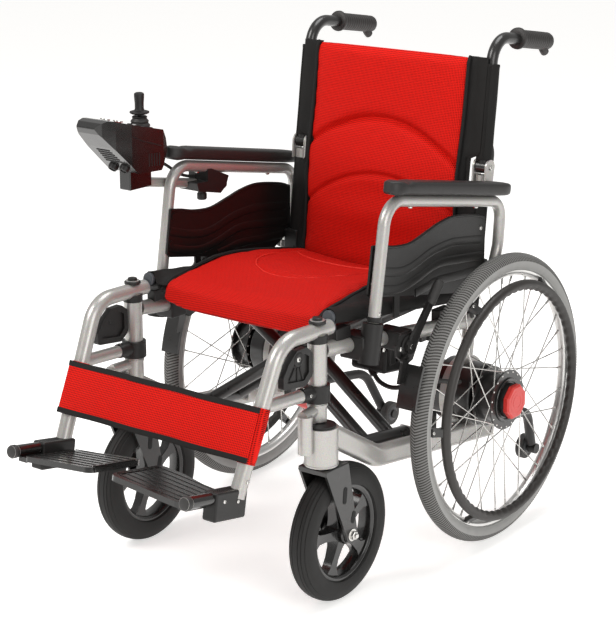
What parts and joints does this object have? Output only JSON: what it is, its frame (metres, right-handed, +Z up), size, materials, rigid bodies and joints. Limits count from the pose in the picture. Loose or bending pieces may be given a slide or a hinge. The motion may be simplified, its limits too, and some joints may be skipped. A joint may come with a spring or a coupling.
{
  "type": "folding power wheelchair",
  "caption": "Power wheelchair that folds on a scissor brace, with spoked hub-motor wheels, fork casters, flip-up armrests, swing-away leg rests and a joystick.",
  "frame": {"origin": "middle of the overall box at floor level", "axes": "+Z up, the chair faces -Y, +X is the occupant's left"},
  "size_m": [0.6806, 1.1348, 0.9556],
  "materials": {
    "silver_paint": "warm silver paint with a fine sparkle",
    "black_paint": "satin black powder coat",
    "black_plastic": "moulded black plastic, fine grain",
    "black_gloss": "glossy moulded black plastic",
    "grey_tyre": "grey non-marking tyre",
    "black_tyre": "black solid tyre",
    "rim_alloy": "polished alloy rim with steel spokes",
    "red_plastic": "red moulded plastic",
    "pad_skin": "self-skinned polyurethane foam",
    "grip_rubber": "black tube with ridged rubber grip",
    "black_rubber": "black rubber",
    "red_mesh": "red spacer mesh with black binding"
  },
  "bodies": {
    "left_frame": {"left_side_frame": "silver_paint", "left_frame_fittings": "black_plastic", "left_motor": "black_paint", "battery_box": "black_plastic", "motor_cable": "black_rubber", "back_upholstery_lower": "red_mesh"},
    "brace_a": {"brace_from_left": "black_paint", "seat_upholstery": "red_mesh"},
    "brace_b": {"brace_from_right": "black_paint"},
    "right_frame": {"right_side_frame": "silver_paint", "right_frame_fittings": "black_plastic", "right_motor": "black_paint"},
    "joystick_gimbal": {"joystick_boot": "black_rubber"},
    "joystick_stick": {"joystick": "black_plastic"},
    "power_key": {"power_button": "red_plastic"},
    "horn_key": {"horn_button": "black_plastic"},
    "left_rear_wheel": {"left_rear_tyre": "grey_tyre", "left_rear_rim": "rim_alloy", "left_rear_hub": "black_paint", "left_hub_cap": "red_plastic", "left_handrim": "black_paint"},
    "left_clutch": {"left_clutch_lever": "red_plastic"},
    "left_caster": {"left_caster_fork": "black_paint"},
    "left_caster_wheel": {"left_caster_rim": "black_gloss", "left_caster_tyre": "black_tyre"},
    "left_hanger_arm": {"left_hanger": "silver_paint", "calf_strap": "red_mesh"},
    "left_footrest": {"left_footplate": "black_gloss"},
    "left_release": {"left_hanger_release": "black_plastic"},
    "left_armrest": {"left_armrest_frame": "silver_paint", "left_armrest_pad": "pad_skin", "left_side_panel": "black_plastic"},
    "left_lock": {"left_wheel_lock_lever": "black_plastic"},
    "left_shoe": {"left_wheel_lock_shoe": "black_paint"},
    "left_back": {"left_push_handle": "grip_rubber", "back_upholstery_upper": "red_mesh"},
    "left_anti_tip": {"left_anti_tip_wheel": "black_rubber"},
    "right_rear_wheel": {"right_rear_tyre": "grey_tyre", "right_rear_rim": "rim_alloy", "right_rear_hub": "black_paint", "right_hub_cap": "red_plastic", "right_handrim": "black_paint"},
    "right_clutch": {"right_clutch_lever": "red_plastic"},
    "right_caster": {"right_caster_fork": "black_paint"},
    "right_caster_wheel": {"right_caster_rim": "black_gloss", "right_caster_tyre": "black_tyre"},
    "right_hanger_arm": {"right_hanger": "silver_paint"},
    "right_footrest": {"right_footplate": "black_gloss"},
    "right_release": {"right_hanger_release": "black_plastic"},
    "right_armrest": {"right_armrest_frame": "silver_paint", "right_armrest_pad": "pad_skin", "right_side_panel": "black_plastic", "controller_housing": "black_gloss", "controller_tube": "silver_paint", "controller_clamp": "black_plastic", "controller_cable": "black_rubber"},
    "right_lock": {"right_wheel_lock_lever": "black_plastic"},
    "right_shoe": {"right_wheel_lock_shoe": "black_paint"},
    "right_back": {"right_push_handle": "grip_rubber"},
    "right_anti_tip": {"right_anti_tip_wheel": "black_rubber"}
  },
  "joints": [
    {"name": "frame_fold", "type": "hinge", "parent": "left_frame", "child": "brace_a", "pos_m": [0.196, -0.02064, 0.245], "axis": [0, 0.993, -0.1184], "range_deg": [0, 32], "deforming": ["seat_upholstery", "back_upholstery_lower", "back_upholstery_upper", "calf_strap"]},
    {"name": "scissor_centre", "type": "hinge", "parent": "brace_a", "child": "brace_b", "pos_m": [0, -0.00464, 0.37905], "axis": [0, 0.993, -0.1184], "range_deg": [-64, 0]},
    {"name": "right_frame_pivot", "type": "hinge", "parent": "brace_b", "child": "right_frame", "pos_m": [-0.196, -0.02064, 0.245], "axis": [0, 0.993, -0.1184], "range_deg": [0, 32]},
    {"name": "left_wheel_spin", "type": "hinge", "parent": "left_frame", "child": "left_rear_wheel", "pos_m": [0.297, 0.22936, 0.28], "axis": [1, 0, 0], "continuous": true},
    {"name": "left_clutch_turn", "type": "hinge", "parent": "left_frame", "child": "left_clutch", "pos_m": [0.156, 0.18536, 0.192], "axis": [1, 0, 0], "range_deg": [0, 40]},
    {"name": "left_caster_swivel", "type": "hinge", "parent": "left_frame", "child": "left_caster", "pos_m": [0.23, -0.23864, 0.3], "axis": [0, 0, 1], "continuous": true},
    {"name": "left_caster_spin", "type": "hinge", "parent": "left_caster", "child": "left_caster_wheel", "pos_m": [0.23, -0.18814, 0.127], "axis": [1, 0, 0], "continuous": true},
    {"name": "left_hanger_swing", "type": "hinge", "parent": "left_frame", "child": "left_hanger_arm", "pos_m": [0.215, -0.23064, 0.42], "axis": [0, 0, 1], "range_deg": [0, 90]},
    {"name": "left_footplate_flip", "type": "hinge", "parent": "left_hanger_arm", "child": "left_footrest", "pos_m": [0.2, -0.48864, 0.276], "axis": [0, 0.9848, -0.1736], "range_deg": [0, 90]},
    {"name": "left_release_turn", "type": "hinge", "parent": "left_hanger_arm", "child": "left_release", "pos_m": [0.215, -0.28964, 0.47], "axis": [1, 0, 0], "range_deg": [-15, 0], "stiffness_Nm_per_rad": 1.5, "springref_deg": 8.59},
    {"name": "left_armrest_flip", "type": "hinge", "parent": "left_frame", "child": "left_armrest", "pos_m": [0.249, 0.27236, 0.512], "axis": [-1, 0, 0], "range_deg": [0, 90]},
    {"name": "left_lock_turn", "type": "hinge", "parent": "left_frame", "child": "left_lock", "pos_m": [0.268, -0.02564, 0.438], "axis": [1, 0, 0], "range_deg": [0, 60]},
    {"name": "left_shoe_turn", "type": "hinge", "parent": "left_frame", "child": "left_shoe", "pos_m": [0.265, -0.03864, 0.415], "axis": [1, 0, 0], "range_deg": [0, 3.8]},
    {"name": "left_back_fold", "type": "hinge", "parent": "left_frame", "child": "left_back", "pos_m": [0.216, 0.28466, 0.709], "axis": [-1, 0, 0], "range_deg": [0, 90]},
    {"name": "left_anti_tip_spin", "type": "hinge", "parent": "left_frame", "child": "left_anti_tip", "pos_m": [0.173, 0.54136, 0.065], "axis": [1, 0, 0], "continuous": true},
    {"name": "right_wheel_spin", "type": "hinge", "parent": "right_frame", "child": "right_rear_wheel", "pos_m": [-0.297, 0.22936, 0.28], "axis": [1, 0, 0], "continuous": true},
    {"name": "right_clutch_turn", "type": "hinge", "parent": "right_frame", "child": "right_clutch", "pos_m": [-0.156, 0.18536, 0.192], "axis": [1, 0, 0], "range_deg": [0, 40]},
    {"name": "right_caster_swivel", "type": "hinge", "parent": "right_frame", "child": "right_caster", "pos_m": [-0.23, -0.23864, 0.3], "axis": [0, 0, 1], "continuous": true},
    {"name": "right_caster_spin", "type": "hinge", "parent": "right_caster", "child": "right_caster_wheel", "pos_m": [-0.23, -0.18814, 0.127], "axis": [1, 0, 0], "continuous": true},
    {"name": "right_hanger_swing", "type": "hinge", "parent": "right_frame", "child": "right_hanger_arm", "pos_m": [-0.215, -0.23064, 0.42], "axis": [0, 0, -1], "range_deg": [0, 90]},
    {"name": "right_footplate_flip", "type": "hinge", "parent": "right_hanger_arm", "child": "right_footrest", "pos_m": [-0.2, -0.48864, 0.276], "axis": [0, -0.9848, 0.1736], "range_deg": [0, 90]},
    {"name": "right_release_turn", "type": "hinge", "parent": "right_hanger_arm", "child": "right_release", "pos_m": [-0.215, -0.28964, 0.47], "axis": [1, 0, 0], "range_deg": [-15, 0], "stiffness_Nm_per_rad": 1.5, "springref_deg": 8.59},
    {"name": "right_armrest_flip", "type": "hinge", "parent": "right_frame", "child": "right_armrest", "pos_m": [-0.249, 0.27236, 0.512], "axis": [-1, 0, 0], "range_deg": [0, 90]},
    {"name": "right_lock_turn", "type": "hinge", "parent": "right_frame", "child": "right_lock", "pos_m": [-0.268, -0.02564, 0.438], "axis": [1, 0, 0], "range_deg": [0, 60]},
    {"name": "right_shoe_turn", "type": "hinge", "parent": "right_frame", "child": "right_shoe", "pos_m": [-0.265, -0.03864, 0.415], "axis": [1, 0, 0], "range_deg": [0, 3.8]},
    {"name": "right_back_fold", "type": "hinge", "parent": "right_frame", "child": "right_back", "pos_m": [-0.216, 0.28466, 0.709], "axis": [-1, 0, 0], "range_deg": [0, 90]},
    {"name": "right_anti_tip_spin", "type": "hinge", "parent": "right_frame", "child": "right_anti_tip", "pos_m": [-0.173, 0.54136, 0.065], "axis": [1, 0, 0], "continuous": true},
    {"name": "joystick_pitch", "type": "hinge", "parent": "right_armrest", "child": "joystick_gimbal", "pos_m": [-0.272, -0.13864, 0.786], "axis": [1, 0, 0], "range_deg": [-18, 18], "stiffness_Nm_per_rad": 0.3},
    {"name": "joystick_roll", "type": "hinge", "parent": "joystick_gimbal", "child": "joystick_stick", "pos_m": [-0.272, -0.13864, 0.786], "axis": [0, 1, 0], "range_deg": [-18, 18], "stiffness_Nm_per_rad": 0.3},
    {"name": "power_press", "type": "slide", "parent": "right_armrest", "child": "power_key", "axis": [0, -0.2588, -0.9659], "range_m": [0, 0.0012], "stiffness_N_per_m": 600, "springref_m": -0.001},
    {"name": "horn_press", "type": "slide", "parent": "right_armrest", "child": "horn_key", "axis": [0, -0.2588, -0.9659], "range_m": [0, 0.0012], "stiffness_N_per_m": 600, "springref_m": -0.001}
  ],
  "couplings": [
    {"joint": "scissor_centre", "follows": "frame_fold", "ratio": -2},
    {"joint": "right_frame_pivot", "follows": "frame_fold", "ratio": 1},
    {"joint": "left_footplate_flip", "follows": "frame_fold", "ratio": 2.8125},
    {"joint": "left_shoe_turn", "follows": "left_lock_turn", "ratio": 0.06333},
    {"joint": "right_footplate_flip", "follows": "frame_fold", "ratio": 2.8125},
    {"joint": "right_shoe_turn", "follows": "right_lock_turn", "ratio": 0.06333},
    {"joint": "right_back_fold", "follows": "left_back_fold", "ratio": 1}
  ]
}
